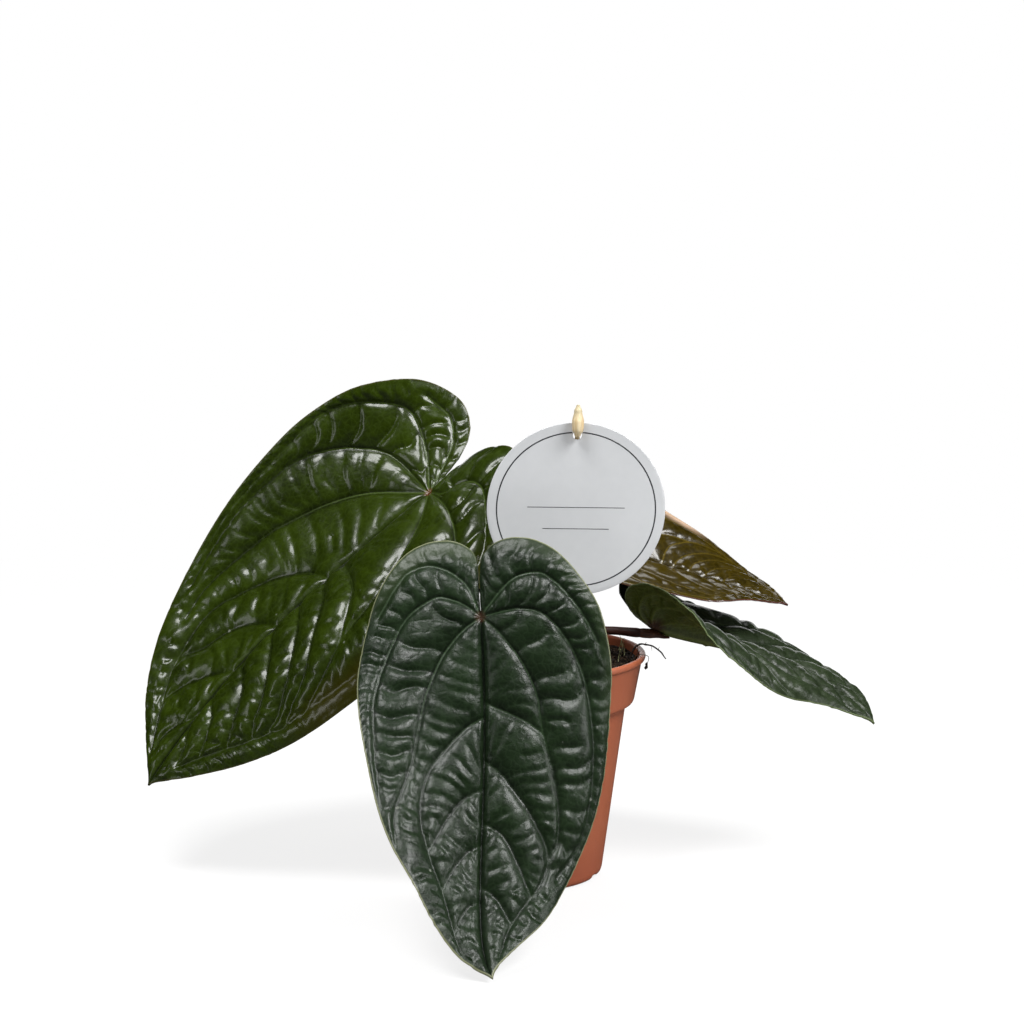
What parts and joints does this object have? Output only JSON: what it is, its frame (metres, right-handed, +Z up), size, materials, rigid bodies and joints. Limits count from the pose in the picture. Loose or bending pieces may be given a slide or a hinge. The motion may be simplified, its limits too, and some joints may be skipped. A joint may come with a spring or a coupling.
{
  "type": "potted anthurium hybrid",
  "caption": "Young anthurium hybrid: quilted heart-shaped leaves on dark petioles, in a tapered terracotta-coloured nursery pot of peat, with a blank round hang tag on a bamboo pick.",
  "frame": {"origin": "centre of the pot's base, on the surface that the pot stands on", "axes": "+Z up; -Y is the front, where the largest drooping leaf faces the viewer; +X to the viewer's right"},
  "size_m": [0.3481, 0.2225, 0.2325],
  "materials": {
    "terracotta_plastic": "satin",
    "peat": "matte",
    "crown_tissue": "matte",
    "petiole_maroon": "satin",
    "leaf_dark_green": "satin",
    "leaf_gloss_green": "gloss",
    "leaf_bronze": "gloss",
    "card": "matte",
    "bamboo": "matte",
    "root_skin": "matte"
  },
  "bodies": {
    "root": {"pot": "terracotta_plastic", "soil": "peat", "crown": "crown_tissue", "petiole_front": "petiole_maroon", "blade_front": "leaf_dark_green", "petiole_left": "petiole_maroon", "blade_left": "leaf_gloss_green", "petiole_low": "petiole_maroon", "blade_low": "leaf_dark_green", "petiole_high": "petiole_maroon", "blade_high": "leaf_bronze", "tag": "card", "tag_pick": "bamboo", "aerial_root": "root_skin"}
  },
  "joints": []
}
